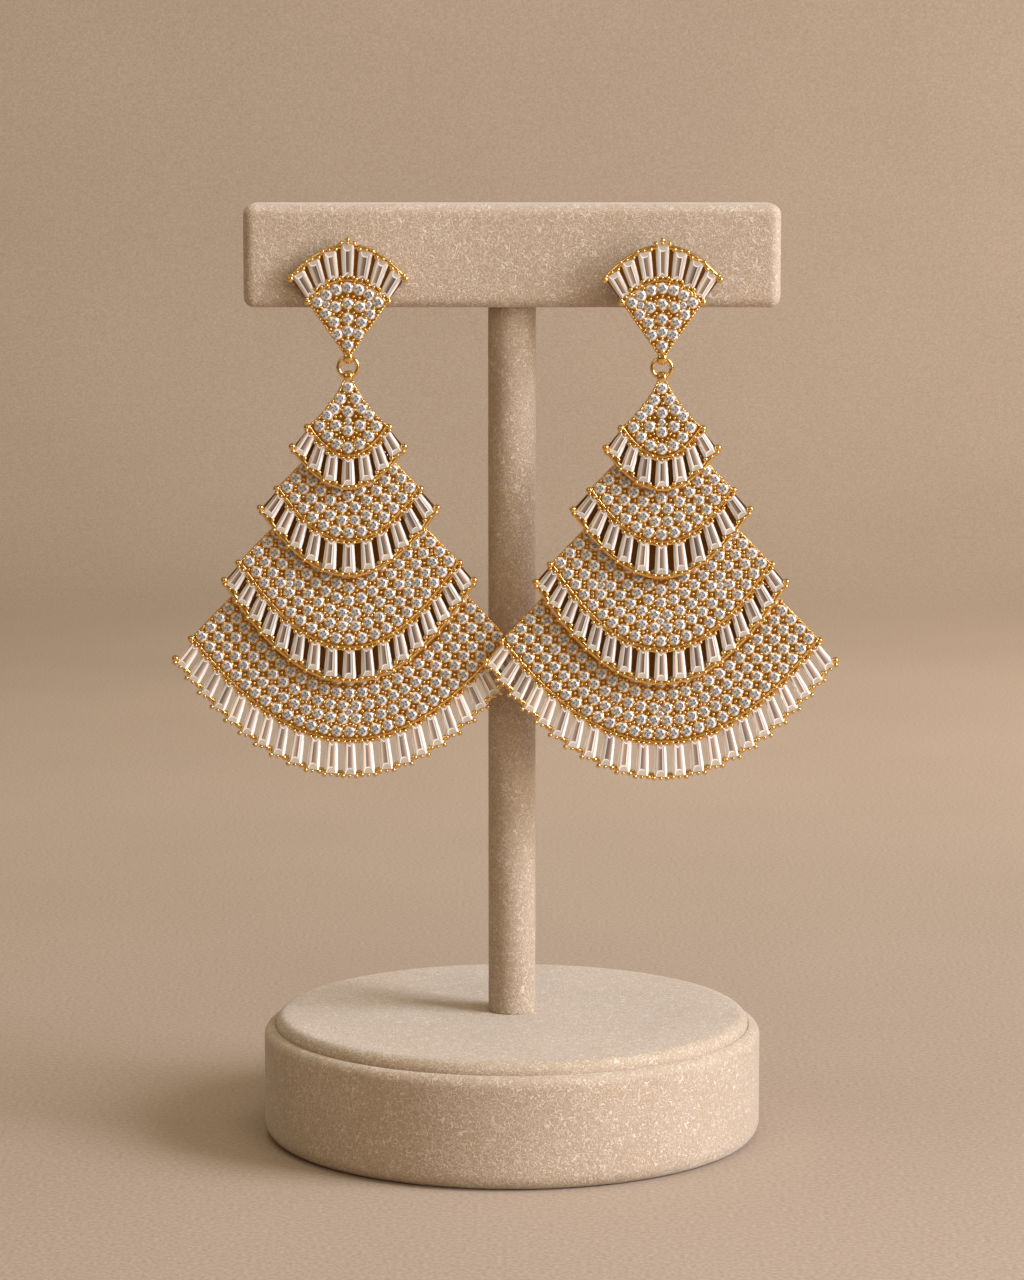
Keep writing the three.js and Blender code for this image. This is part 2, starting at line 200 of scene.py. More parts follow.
base_profile = [
    (0, 0), (30, 0), *arc(BASE_RADIUS - FOOT_ROUND, FOOT_ROUND, FOOT_ROUND, -90, 0),
    (BASE_RADIUS, 3), (BASE_RADIUS, 13.4), *arc(BASE_RADIUS - RIM_ROUND, 14.4, RIM_ROUND, 0, 90),
    *arc(33.95, 15.55, 0.25, 90, 180, 3), (33.7, 14.7), (33.5, 14.5), (0, 14.5)]
disc_profile = [
    (0, 14.6), (33.3, 14.6), (33.6, 14.8), (DISC_RADIUS, 15.1),
    *arc(DISC_RADIUS - DISC_ROUND, DISC_TOP - DISC_ROUND, DISC_ROUND, 0, 90),
    (31, DISC_TOP), (0, DISC_TOP)]
stem_profile = [
    (0, 17.3), (3.2, 17.3), (STEM_RADIUS, 17.9), (STEM_RADIUS, 117.6), (STEM_RADIUS, 118.3),
    (0, 118.3)]
covered_piece("suede_base", turned_mesh("suede_base", base_profile), "stand_base")
covered_piece("suede_disc", turned_mesh("suede_disc", disc_profile), "stand_disc")
covered_piece("suede_stem", turned_mesh("suede_stem", stem_profile, sides=64), "stand_stem")


def padded_bar(name, size, low, radius):
    """A block with softly rounded edges, from its size and the height of its underside, in mm."""
    half = Vector(size) / 2
    steps = 7

    def cuts(reach):
        """Where the block is cut across: closely through its roundings, and once in its middle."""
        turns = [math.pi / 2 * i / steps for i in range(steps + 1)]
        near = [reach - radius * (1 - math.sin(turn)) for turn in turns]
        flat = reach - radius - FLAT_MARGIN
        return [-c for c in reversed(near)] + [-flat, 0, flat] + near

    points, faces, index = [], [], {}

    def point(x, y, z):
        """The number of the point that this place on the square block moves to."""
        key = (round(x, 5), round(y, 5), round(z, 5))
        if key not in index:
            inner = Vector([max(-h + radius, min(h - radius, v)) for h, v in zip(half, (x, y, z))])
            out = Vector((x, y, z)) - inner
            at = inner + out.normalized() * radius
            index[key] = len(points)
            points.append((at.x * MM, at.y * MM, (at.z + low + half.z) * MM))
        return index[key]

    grids = [cuts(h) for h in half]
    for axis in range(3):
        u, v = [a for a in range(3) if a != axis]
        for sign in (-1, 1):
            for i in range(len(grids[u]) - 1):
                for j in range(len(grids[v]) - 1):
                    corners = []
                    for di, dj in ((0, 0), (1, 0), (1, 1), (0, 1)):
                        p = [0, 0, 0]
                        p[axis], p[u], p[v] = sign * half[axis], grids[u][i + di], grids[v][j + dj]
                        corners.append(point(*p))
                    outward = (sign > 0) == (axis != 1)
                    faces.append(corners if outward else corners[::-1])
    mesh = bpy.data.meshes.new(name)
    mesh.from_pydata(points, [], faces)
    return mesh


covered_piece("suede_crossbar", padded_bar("suede_crossbar", BAR_SIZE, BAR_UNDERSIDE, BAR_ROUND),
              "stand_crossbar")

# The fans' outlines
# Every fan is cast flat. Its rim and outer edge are bowed lines, measured from its jump ring's eye.
# The lower fans of a drop lie behind the upper ones, and the whole drop leans to hang straight.

# Sizes in mm. A side's two numbers say where its hinge lies across the stand and in depth.
BAR_FRONT = -6.5
HINGE_HEIGHT = 111.4
PLATE = 1.0
RING_RADIUS = 1.34
DROP_LENGTH = 55.5
DROP_HALF_WIDTH = 24.5
TIER_STEP = 1.75
LEAN = math.radians(6.9)
SIDES = {"left": (-22.7, BAR_FRONT - 1.5), "right": (20.7, BAR_FRONT - 3.6)}


class Bow:
    """A bowed line: its middle height, its half width and the height of its ends."""

    def __init__(self, middle, half, corner):
        self.middle, self.half, self.corner = middle, half, corner
        self.rise = (corner - middle) / half**2

    def height(self, x):
        return self.middle + self.rise * x * x

    def outward(self, x):
        """The direction across the line at x, away from the fan's point."""
        away = Vector((-2 * self.rise * x, 1)).normalized()
        return away if self.rise < 0 else -away

    def point(self, x, offset=0.0):
        return Vector((x, self.height(x))) + self.outward(x) * offset

    def along(self, shares, offset=0.0):
        """Points at these shares of the line's length, moved off it, with their directions."""
        steps = 240
        xs = [self.half * (2 * i / steps - 1) for i in range(steps + 1)]
        gone = [0.0]
        for a, b in zip(xs, xs[1:]):
            gone.append(gone[-1] + math.hypot(b - a, self.height(b) - self.height(a)))
        found = []
        for share in shares:
            wanted = share * gone[-1]
            i = 1
            while i < steps and gone[i] < wanted:
                i += 1
            part = (wanted - gone[i - 1]) / (gone[i] - gone[i - 1])
            x = xs[i - 1] + part * (xs[i] - xs[i - 1])
            found.append((self.point(x, offset), self.outward(x)))
        return found


def even(count):
    """Shares from 0 to 1 in that many equal steps."""
    return [i / count for i in range(count + 1)]


def fan(rim_half, rim_corner, rim_middle, edge_half, edge_corner, edge_middle, baguettes):
    """A fan's two bowed lines, the plate's rim and the comb's outer edge, and its baguettes."""
    return {
        "rim": Bow(rim_middle, rim_half, rim_corner),
        "edge": Bow(edge_middle, edge_half, edge_corner),
        "baguettes": baguettes,
    }


def drop_fan(rim_half, rim_corner, rim_middle, edge_half, edge_corner, edge_middle, baguettes):
    """A fan of a drop, from shares of the drop's half width and of its length."""
    wide, deep = DROP_HALF_WIDTH, -DROP_LENGTH
    return fan(rim_half * wide, rim_corner * deep, rim_middle * deep,
               edge_half * wide, edge_corner * deep, edge_middle * deep, baguettes)


STUD_FAN = fan(5.3, 7.5, 10.7, 8.05, 10.95, 15.5, 7)
DROP_FANS = [
    drop_fan(0.218, 0.122, 0.195, 0.322, 0.176, 0.278, 7),
    drop_fan(0.394, 0.275, 0.406, 0.506, 0.328, 0.496, 11),
    drop_fan(0.615, 0.460, 0.673, 0.716, 0.509, 0.762, 17),
    drop_fan(0.892, 0.650, 0.906, 1.000, 0.706, 1.000, 23),
]


def stud_place(side):
    """From a stud's own frame, in mm with its back at y = 0, into the frame of the part."""
    x, hinge = SIDES[side]
    return Matrix.Scale(MM, 4) @ Matrix.Translation((x, hinge + PLATE / 2, HINGE_HEIGHT))


def fan_place(side, tier):
    """The same for a fan of a drop, which leans and lies behind the fans above it."""
    x, hinge = SIDES[side]
    eye = Matrix.Translation((x, hinge, HINGE_HEIGHT - 2 * RING_RADIUS))
    lean = Matrix.Rotation(-LEAN, 4, "X")
    layer = Matrix.Translation((0, PLATE / 2 + tier * TIER_STEP, 0))
    return Matrix.Scale(MM, 4) @ eye @ lean @ layer


# Gold
# The castings are brass with a thick plate of warm yellow gold, polished on the wires and beads.
# Between the stones and behind the baguettes the gold is rougher, as no mop reaches it, and painted
# darker as painted shade.


def plated_gold(name, base, roughness):
    """Gold of this colour with a faint cast ripple, which also varies its polish."""
    gold, shader = new_material(name)
    shader.inputs["Base Color"].default_value = (*base, 1)
    shader.inputs["Metallic"].default_value = 1
    where = gold.node_tree.nodes.new("ShaderNodeTexCoord")
    ripple = add_node(gold, "ShaderNodeTexNoise", Scale=1400, Detail=2, Roughness=0.5)
    link(gold, where, "Object", ripple, "Vector")
    shine = gold.node_tree.nodes.new("ShaderNodeMapRange")
    shine.inputs["To Min"].default_value = roughness * 0.7
    shine.inputs["To Max"].default_value = roughness * 1.35
    link(gold, ripple, "Fac", shine, "Value")
    link(gold, shine, "Result", shader, "Roughness")
    cast_skin = add_node(gold, "ShaderNodeBump", Strength=0.25, Distance=0.00003)
    link(gold, ripple, "Fac", cast_skin, "Height")
    link(gold, cast_skin, "Normal", shader, "Normal")
    return gold


polished_gold = plated_gold("polished_gold", (0.98, 0.63, 0.21), 0.25)
# Painted shade: this gold's darker, deeper colour stands for the shade that falls between the
# stones.
shade_painted_web_gold = plated_gold("shade_painted_web_gold", (0.74, 0.35, 0.06), 0.34)
# Painted shadow: this near-brown gold stands for shadowed gold behind the baguettes.
painted_shadow_gold = plated_gold("painted_shadow_gold", (0.44, 0.17, 0.022), 0.42)


class Shape:
    """A mesh in the making: points in mm in a casting's frame, and faces with their shades."""

    def __init__(self):
        self.points, self.faces, self.smooth, self.shades = [], [], [], []

    def add(self, points, faces, smooth=False, shades=None):
        start = len(self.points)
        self.points += [tuple(p) for p in points]
        self.faces += [tuple(start + i for i in face) for face in faces]
        self.smooth += [smooth] * len(faces)
        self.shades += shades or [(1.0, 1.0, 1.0)] * len(faces)

    def piece(self, name, material, place, body, shaded=False):
        """Makes the object, places it in the part's frame and lets it ride on its body."""
        mesh = bpy.data.meshes.new(name)
        mesh.from_pydata([place @ Vector(p) for p in self.points], [], self.faces)
        mesh.polygons.foreach_set("use_smooth", self.smooth)
        if shaded:
            layer = mesh.color_attributes.new("painted_facet_light", "FLOAT_COLOR", "CORNER")
            for polygon, shade in zip(mesh.polygons, self.shades):
                for corner in polygon.loop_indices:
                    layer.data[corner].color = (*shade, 1)
        else:
            turned = bmesh.new()
            turned.from_mesh(mesh)
            bmesh.ops.recalc_face_normals(turned, faces=turned.faces)
            turned.to_mesh(mesh)
            turned.free()
        mesh.materials.append(material)
        made = bpy.data.objects.new(name, mesh)
        bpy.context.scene.collection.objects.link(made)
        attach(made, body)
        return made


def ball_mesh(rings, sides):
    """A unit ball as rings of points about Y, and its faces."""
    points = [Vector((0, -1, 0))]
    for ring in range(1, rings):
        turn = math.pi * ring / rings
        for side in range(sides):
            around = math.tau * side / sides
            points.append(Vector((math.sin(turn) * math.cos(around), -math.cos(turn),
                                  math.sin(turn) * math.sin(around))))
    points.append(Vector((0, 1, 0)))
    last = len(points) - 1
    faces = []
    for side in range(sides):
        after = (side + 1) % sides
        faces.append((0, 1 + side, 1 + after))
        for ring in range(rings - 2):
            a = 1 + ring * sides
            faces.append((a + side, a + sides + side, a + sides + after, a + after))
        end = 1 + (rings - 2) * sides
        faces.append((last, end + after, end + side))
    return points, faces


BEAD_BALL = ball_mesh(rings=4, sides=8)
END_BALL = ball_mesh(rings=8, sides=14)


def add_bead(shape, at, depth, radius, tall=1.0, ball=BEAD_BALL):
    """A bead or prong tip, its middle that far in front of the casting's back."""
    points, faces = ball
    shape.add(
        [(at.x + p.x * radius, -depth + p.y * radius * tall, at.y + p.z * radius) for p in points],
        faces, smooth=True)


# The round stones
# Each is a small brilliant of clear glass or zirconia, foiled behind; its white and grey facets are
# painted reflections.
# They sit in drilled seats, each held by a collar and small beads that are raised from the gold.


def cut_stone(name, brightness):
    """A polished stone, each facet as light as its painted light says: painted reflections for the
    clear stone.
    """
    stone, shader = new_material(name)
    shade = stone.node_tree.nodes.new("ShaderNodeVertexColor")
    shade.layer_name = "painted_facet_light"
    tone = stone.node_tree.nodes.new("ShaderNodeHueSaturation")
    tone.inputs["Value"].default_value = brightness
    link(stone, shade, "Color", tone, "Color")
    link(stone, tone, "Color", shader, "Base Color")
    shader.inputs["Roughness"].default_value = 0.06
    shader.inputs["IOR"].default_value = 2.1
    return stone


crystal = cut_stone("foiled_crystal", 1.0)

# Sizes in mm, with depths from the plate's back. The pitch is from stone to stone along a row.
STONE_RADIUS = 0.79
STONE_POINT, STONE_SEAT, STONE_TOP = 0.55, 1.0, 1.35
STONE_PITCH = 1.79


def add_round_stone(shape, at, dice, size=1.0):
    """A brilliant: table, stars, kites and girdle facets in front, a plain cone in the plate."""
    wide = STONE_RADIUS * size
    top = STONE_SEAT + (STONE_TOP - STONE_SEAT) * size
    turn = dice.uniform(0, math.pi / 4)
    glow = dice.uniform(0.88, 1.04)

    def ring(count, radius, depth, shift):
        return [
            (at.x + radius * math.cos(turn + math.tau * (i + shift) / count), -depth,
             at.y + radius * math.sin(turn + math.tau * (i + shift) / count))
            for i in range(count)]

    middle = [(at.x, -top, at.y)]
    heart = ring(8, wide * 0.27, top, 0.5)
    table = ring(8, wide * 0.6, top, 0)
    star = ring(8, wide * 0.79, top - 0.13 * size, 0.5)
    girdle = ring(16, wide, STONE_SEAT + 0.03, 0)
    point = [(at.x, -STONE_POINT, at.y)]
    points = middle + heart + table + star + girdle + point
    h, t, s, g, culet = 1, 9, 17, 25, 41  # where each ring and the point begin in the list
    faces, shades = [], []

    def facet(corners, light, warm=0.0):
        faces.append(corners[::-1])
        light = min(1.0, max(0.02, light * glow * dice.uniform(0.8, 1.15)))
        shades.append((light, light * (0.98 - warm), light * (0.97 - 2 * warm)))

    # Painted reflections: dark and light table triangles for the pavilion seen through, white kites
    # and girdle, and a warm painted tint of the gold.
    for i in range(8):
        j = (i + 1) % 8
        facet((0, h + j, h + i), 0.55 if i % 2 else 0.22, 0.06)
        facet((h + i, t + j, t + i), 0.16 if i % 2 else 0.46, 0.03)
        facet((h + i, h + j, t + j), 0.48 if i % 2 else 0.2, 0.04)
        facet((t + i, t + j, s + i), 0.6 if i % 2 else 0.95)
        facet((t + j, s + j, g + 2 * j, s + i), 1.0 if i % 2 else 0.5, 0.02)
        facet((s + i, g + (2 * i + 1) % 16, g + 2 * i), 0.62 if i % 2 else 0.98)
        facet((s + i, g + 2 * j, g + (2 * i + 1) % 16), 0.9 if i % 4 else 0.4)
    for i in range(16):
        facet((culet, g + i, g + (i + 1) % 16), 0.4)
    shape.add(points, faces, shades=shades)


def add_collar(shape, at):
    """The lip of gold that a graver raises around a stone's seat."""
    profile = [(-0.03, 0.9), (0.0, 1.09), (0.06, 1.11), (0.13, 0.9)]
    sides, count = 14, len(profile)
    points, faces = [], []
    for i in range(sides):
        turn = math.tau * i / sides
        for over, depth in profile:
            radius = STONE_RADIUS + over
            points.append((at.x + radius * math.cos(turn), -depth, at.y + radius * math.sin(turn)))
        for k in range(count):
            a, b, after = i * count, (i + 1) % sides * count, (k + 1) % count
            faces.append((a + k, a + after, b + after, b + k))
    shape.add(points, faces, smooth=True)


ON_MIDDLE = 0.05  # a stone nearer to the middle line than this stands on it alone


def stone_row(rim, inset, pitch, inside):
    """Places along a line that far inside a rim, spread evenly between the plate's two sides."""
    steps = 600
    line, gone = [rim.point(0, -inset)], [0.0]
    for i in range(1, steps + 1):
        at = rim.point(rim.half * 1.2 * i / steps, -inset)
        if not inside(at):
            break
        gone.append(gone[-1] + (at - line[-1]).length)
        line.append(at)
    half = gone[-1]
    whole, odd = max(1, round(half / pitch)), max(0, round(half / pitch - 0.5))
    from_middle = abs(half / whole - pitch) <= abs(half / (odd + 0.5) - pitch)
    gaps = whole if from_middle else odd + 0.5
    wanted = [half * (gaps - k) / gaps for k in range(int(gaps + 1))]
    found = []
    for distance in wanted:
        i = next((i for i, g in enumerate(gone) if g >= distance - 1e-6), len(gone) - 1)
        found.append(line[i].copy())
        if line[i].x > ON_MIDDLE:
            found.append(Vector((-line[i].x, line[i].y)))
    return found


# Rows of round stones from a plate's point outwards: how many stones, then shares that say how far
# out the row lies, how wide it spreads and how far its ends bend back towards the point
POINTED_ROWS = {
    "stud": [(1, 0.11, 0, 0), (3, 0.303, 0.278, 0.04), (3, 0.475, 0.36, 0.05),
             (5, 0.68, 0.58, 0.14), (7, 0.9, 0.79, 0.2)],
    "top": [(1, 0.08, 0, 0), (2, 0.235, 0.2, 0), (3, 0.41, 0.35, 0.04), (5, 0.67, 0.54, 0.21),
            (7, 0.9, 0.73, 0.29)],
}


def pointed_places(rim, apex, rows):
    """A pointed plate's round stones, row by row from its point outwards."""
    way = rim.middle - apex
    places = []
    for stones, reach, spread, lift in rows:
        middle = apex + reach * way
        if stones == 1:
            places.append(Vector((0, middle)))
        else:
            row = Bow(middle, spread * rim.half, middle - lift * way)
            places += [at for at, _ in row.along(even(stones - 1))]
    return places


# A lower fan's sides rise at a slope. Its round stones keep clear of them, and reach a little way
# under the fan above.
FAN_SIDE_RISE = 1.04
SIDE_ROOM = 0.8
TUCKED_SIDE, TUCKED_EDGE = 0.4, 0.5


def band_places(rim, above, first, row_pitch):
    """A lower fan's round stones, in rows inside its rim, but none behind the fan above."""
    slope = math.sin(math.atan(FAN_SIDE_RISE))

    def inside(at):
        reach = rim.half - (at.y - rim.corner) / FAN_SIDE_RISE
        return (reach - abs(at.x)) * slope > SIDE_ROOM

    def shows(at):
        edge = above["edge"]
        return abs(at.x) > edge.half - TUCKED_SIDE or at.y < edge.height(at.x) + TUCKED_EDGE

    places = []
    inset = first
    while True:
        row = [at for at in stone_row(rim, inset, STONE_PITCH, inside) if shows(at)]
        if not row:
            return places
        places += row
        inset += row_pitch


# The web looks for room midway between stones that are near each other, and beside that place.
# A hollow among four stones takes a small filling stone, and the others take a bead.
WEB_REACH = 3.1
OFF_LINE = 0.72
SEAT_RADIUS = 0.76
LEAST_ROOM, MOST_ROOM = 0.06, 0.75
HOLLOW_REACH = 2.4
BEAD_ROOM, SMALL_STONE_ROOM = 0.45, 0.5
BEAD_CLEAR, SMALL_STONE_CLEAR = 0.42, 0.95
SMALL_STONE_SIZE = 0.62
WEB_BEAD = 0.24


def add_bead_web(gold, stones, places, dice):
    """The stones' collars, the beads that hold them, and small stones where there is room."""
    gaps = []
    for at in places:
        add_collar(gold, at)
    for i, a in enumerate(places):
        for b in places[i + 1:]:
            if (a - b).length > WEB_REACH:
                continue
            middle = (a + b) / 2
            across = Vector((-(b - a).y, (b - a).x)).normalized()
            for sign in (-1, 0, 1):
                at = middle + across * (sign * OFF_LINE)
                near = sorted((at - c).length for c in places)
                room = near[0] - SEAT_RADIUS
                if LEAST_ROOM < room < MOST_ROOM:
                    hollow = near[3] < HOLLOW_REACH and not sign
                    gaps.append((room if hollow else min(room, BEAD_ROOM), at))
    gaps.sort(key=lambda gap: -gap[0])
    made = []
    for room, at in gaps:
        small_stone = room > SMALL_STONE_ROOM
        clear = SMALL_STONE_CLEAR if small_stone else BEAD_CLEAR
        if any((at - m).length < clear for m in made):
            continue
        made.append(at)
        if small_stone:
            add_round_stone(stones, at, dice, SMALL_STONE_SIZE)
        else:
            add_bead(gold, at, STONE_SEAT + 0.12, WEB_BEAD, tall=1.3)


# The baguettes
# Each row is a comb of tapered step-cut stones between two bowed rails, with prongs of gold.
# Their long facets are painted white at the edges and champagne in the middle, painted reflections
# over the gold behind.

# In mm: a stone's width at its two ends, the extra height of the stud's middle one, the gap
# between a plate's rim and its stones, and the depth and widths of the rails
BAGUETTE_INNER = 1.5
BAGUETTE_OUTER = 1.98
BAGUETTE_RISE = 0.5
RIM_GAP = 0.3
RAIL_DEPTH = 0.8
INNER_RAIL = RIM_GAP + 0.35
OUTER_RAIL = 0.72

# Depth, radius and height of the prongs at the middles and corners of a stone's two ends
INNER_TIP, OUTER_TIP = (1.0, 0.26, 1.3), (0.9, 0.28, 1.3)
INNER_CLAW, OUTER_CLAW = (0.88, 0.32, 1.3), (0.8, 0.37, 1.2)
RAIL_END = 0.5

# The lanes of a baguette's table, from its left edge to its right, and each lane's painted
# reflected light and colour
WHITE = (1.0, 0.965, 0.91)
CREAM = (1.0, 0.84, 0.68)
MAUVE = (1.0, 0.72, 0.60)
AMBER = (1.0, 0.68, 0.46)
TABLE_LANES = [-0.64, -0.40, -0.27, 0.0, 0.24, 0.42, 0.64]
LANE_TONES = [(0.72, CREAM), (0.97, WHITE), (0.17, MAUVE), (0.30, AMBER), (0.46, MAUVE),
              (0.72, CREAM)]


def add_baguette(shape, start, end, dice, over_air):
    """A step-cut stone, a notch at its inner end and an arch at its outer, its painted light paler
    over air.
    """
    along = (end - start).normalized()
    across = Vector((-along.y, along.x))
    length = (end - start).length
    # Painted light: stones over the painted dark gold are painted darker, and their lanes less
    # pale.
    glow = dice.uniform(0.92, 1.06) * (0.94 if over_air else 0.86)
    lift = 0.75 if over_air else 1.0
    dusk = dice.uniform(0.75, 1.3)
    slant = dice.uniform(-0.1, 0.1)
    tones = LANE_TONES if dice.random() < 0.7 else LANE_TONES[::-1]
    low, mid, top = 0.62, 0.9, 1.1
    step_over, table_over = 0.82, 0.64
    notch_from, notch_to, arch_from, arch_to = 0.05, 0.17, 0.78, 0.94

    def spot(run, over, depth):
        """A point on the stone: run along it from 0 to 1, over across it from -1 to 1."""
        half = (BAGUETTE_INNER + (BAGUETTE_OUTER - BAGUETTE_INNER) * run) / 2
        p = start + along * (run * length) + across * (over * half)
        return (p.x, -depth, p.y)

    points, faces, shades = [], [], []

    def facet(corners, light, colour=WHITE):
        base = len(points)
        points.extend(corners)
        faces.append(tuple(range(base, base + len(corners))))
        light = min(1.0, max(0.02, light * glow * dice.uniform(0.93, 1.07)))
        shades.append(tuple(min(1.0, light * c) for c in colour))

    def notch(over):
        return notch_from + (notch_to - notch_from) * (1 - abs(over) / table_over)

    def arch(over):
        return arch_to - (arch_to - arch_from) * math.sqrt(max(0.0, 1 - (over / table_over) ** 2))

    foot = [spot(0, -1, 0.25), spot(0, 1, 0.25), spot(1, 1, 0.25), spot(1, -1, 0.25)]
    girdle = [spot(0, -1, low), spot(0, 1, low), spot(1, 1, low), spot(1, -1, low)]
    step = [spot(0.03, -step_over, mid), spot(0.03, step_over, mid),
            spot(0.97, step_over, mid), spot(0.97, -step_over, mid)]
    table = [spot(notch_from, -table_over, top), spot(notch_from, table_over, top),
             spot(arch_to, table_over, top), spot(arch_to, -table_over, top)]
    facet(foot, 0.3)
    for i in range(4):
        j = (i + 1) % 4
        facet([foot[j], foot[i], girdle[i], girdle[j]], 0.75, CREAM)
        facet([girdle[j], girdle[i], step[i], step[j]], 1.0)
    facet([step[2], step[1], table[1], table[2]], 0.92)
    facet([step[0], step[3], table[3], table[0]], 0.66, CREAM)

    lanes = list(TABLE_LANES)
    lanes[3] += slant
    ends_in = [spot(notch(over), over, top) for over in lanes]
    ends_out = [spot(arch(over), over, top) for over in lanes]
    rim_in = [spot(notch(over) - 0.035, over, top - 0.03) for over in lanes]
    rim_out = [spot(arch(over) + 0.04, over, top - 0.03) for over in lanes]
    for k, (light, colour) in enumerate(tones):
        lane = [ends_in[k + 1], ends_in[k], ends_out[k], ends_out[k + 1]]
        facet(lane, light**lift * dusk, colour)
        facet([rim_in[k + 1], rim_in[k], ends_in[k], ends_in[k + 1]], 1.0)
        facet([ends_out[k + 1], ends_out[k], rim_out[k], rim_out[k + 1]], 1.0)
    facet([step[1], step[0]] + rim_in, 0.62, MAUVE)
    facet([step[3], step[2]] + rim_out[::-1], 0.66, CREAM)
    facet([step[0], ends_in[0], rim_in[0]], 1.0)
    facet([step[1], rim_in[-1], ends_in[-1]], 1.0)
    facet([step[3], rim_out[0], table[3]], 1.0)
    facet([step[2], table[2], rim_out[-1]], 1.0)
    shape.add(points, faces, shades=shades)


def add_rail(shape, curve, offset, width, segments):
    """A rail of the setting: a band along a curve with a rounded front."""
    profile = [(0, 0), (0, 0.55), (0.2, 0.74), (0.5, RAIL_DEPTH), (0.8, 0.74), (1, 0.55), (1, 0)]
    count = len(profile)
    line = curve.along(even(segments))
    points = []
    for at, outward in line:
        for over, depth in profile:
            p = at + outward * (offset + over * width)
            points.append((p.x, -depth, p.y))
    faces = []
    for i in range(segments):
        a, b = i * count, (i + 1) * count
        for k in range(count):
            after = (k + 1) % count
            faces.append((a + k, a + after, b + after, b + k))
    faces.append(tuple(range(count - 1, -1, -1)))
    faces.append(tuple(range(len(points) - count, len(points))))
    shape.add(points, faces, smooth=True)


def baguette_lines(fan_):
    """The inner and outer end of each baguette.

    The last fan's stand out past the rail, and the stud's middle one stands above the others.
    """
    count = fan_["baguettes"]
    mids = [(i + 0.5) / count for i in range(count)]
    inner = fan_["rim"].along(mids, RIM_GAP + 0.12)
    outer = fan_["edge"].along(mids, -0.12 if fan_ is DROP_FANS[-1] else -0.34)
    lines = [(a, b) for (a, _), (b, _) in zip(inner, outer)]
    if fan_ is STUD_FAN:
        start, end = lines[count // 2]
        lines[count // 2] = (start, end + Vector((0, BAGUETTE_RISE)))
    return lines


def make_baguette_row(name, fan_, place, body, node):
    """The stones and the gold of one row, standing for the row's solid."""
    dice = random.Random(name)
    stones, rails, prongs = Shape(), Shape(), Shape()
    count = fan_["baguettes"]
    over_air = fan_ is DROP_FANS[-1]
    add_rail(rails, fan_["rim"], 0.05, INNER_RAIL, count * 3)
    add_rail(rails, fan_["edge"], -0.75 if over_air else -0.5, OUTER_RAIL, count * 3)
    for start, end in baguette_lines(fan_):
        add_baguette(stones, start, end, dice, over_air)
        along = (end - start).normalized()
        across = Vector((-along.y, along.x))
        add_bead(prongs, start + along * 0.02, *INNER_TIP)
        add_bead(prongs, end + along * 0.16, *OUTER_TIP)
        for sign in (-1, 1):
            corner = end + across * (sign * BAGUETTE_OUTER * 0.47) + along * 0.12
            add_bead(prongs, corner, *OUTER_CLAW)
            add_bead(prongs, start + across * (sign * BAGUETTE_INNER * 0.5), *INNER_CLAW)
    for at, _ in fan_["edge"].along([0, 1], -0.15):
        add_bead(prongs, at, RAIL_DEPTH, RAIL_END, ball=END_BALL)
    for at, _ in fan_["rim"].along([0, 1], RIM_GAP + 0.1):
        add_bead(prongs, at, RAIL_DEPTH, RAIL_END, ball=END_BALL)
    cut = stones.piece(f"{name}_cut", crystal, place, body, shaded=True)
    comb = rails.piece(f"{name}_rails", polished_gold, place, body)
    claws = prongs.piece(f"{name}_prongs", polished_gold, place, body)
    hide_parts(node)


# The studs
# Each stud is a pointed plate standing on its point, with round stones and a comb of baguettes.
# A small upright eye at its point holds the jump ring. A thin gold backing closes the comb behind,
# painted dark as painted shadow.

# In mm: where a plate's blunt point lies and half its width, then radii of wires, beads and balls,
# the thickness of the backing, and the stout wires of the eye and jump ring
APEX = 0.65
STUD_APEX_HALF = 0.5
RIM_WIRE, SIDE_WIRE = 0.17, 0.13
SIDE_BEAD, SIDE_BEAD_PITCH = 0.2, 0.52
CROWN_BALL, POINT_BALL = 0.38, 0.46
BACKING = 0.4
EYE_RADIUS, EYE_WIRE, EYE_WIDTH = 0.7, 0.2, 2.9
RING_WIRE = 0.3


def dress(node_name, material):
    """A CAD solid keeps its shape and takes this material in all its slots."""
    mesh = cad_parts[node_name].data
    mesh.materials.clear()
    mesh.materials.append(material)


def add_plate(shape, outline, thick, back=0.0):
    """A flat plate of this outline, its back at that depth."""
    count = len(outline)
    points = [(p.x, -back, p.y) for p in outline] + [(p.x, -back - thick, p.y) for p in outline]
    faces = [tuple(range(count)), tuple(range(2 * count - 1, count - 1, -1))]
    faces += [(i, count + i, count + (i + 1) % count, (i + 1) % count) for i in range(count)]
    shape.add(points, faces)


def add_recess(shape, fan_, back, thick):
    """A thin band of dark gold between the baguettes, painted shadow on the gold behind them."""
    across = even(fan_["baguettes"] * 3)
    near = [at for at, _ in fan_["rim"].along(across, RIM_GAP - 0.25)]
    far = [at for at, _ in fan_["edge"].along(across, -0.3)]
    add_plate(shape, near + far[::-1], thick, back)


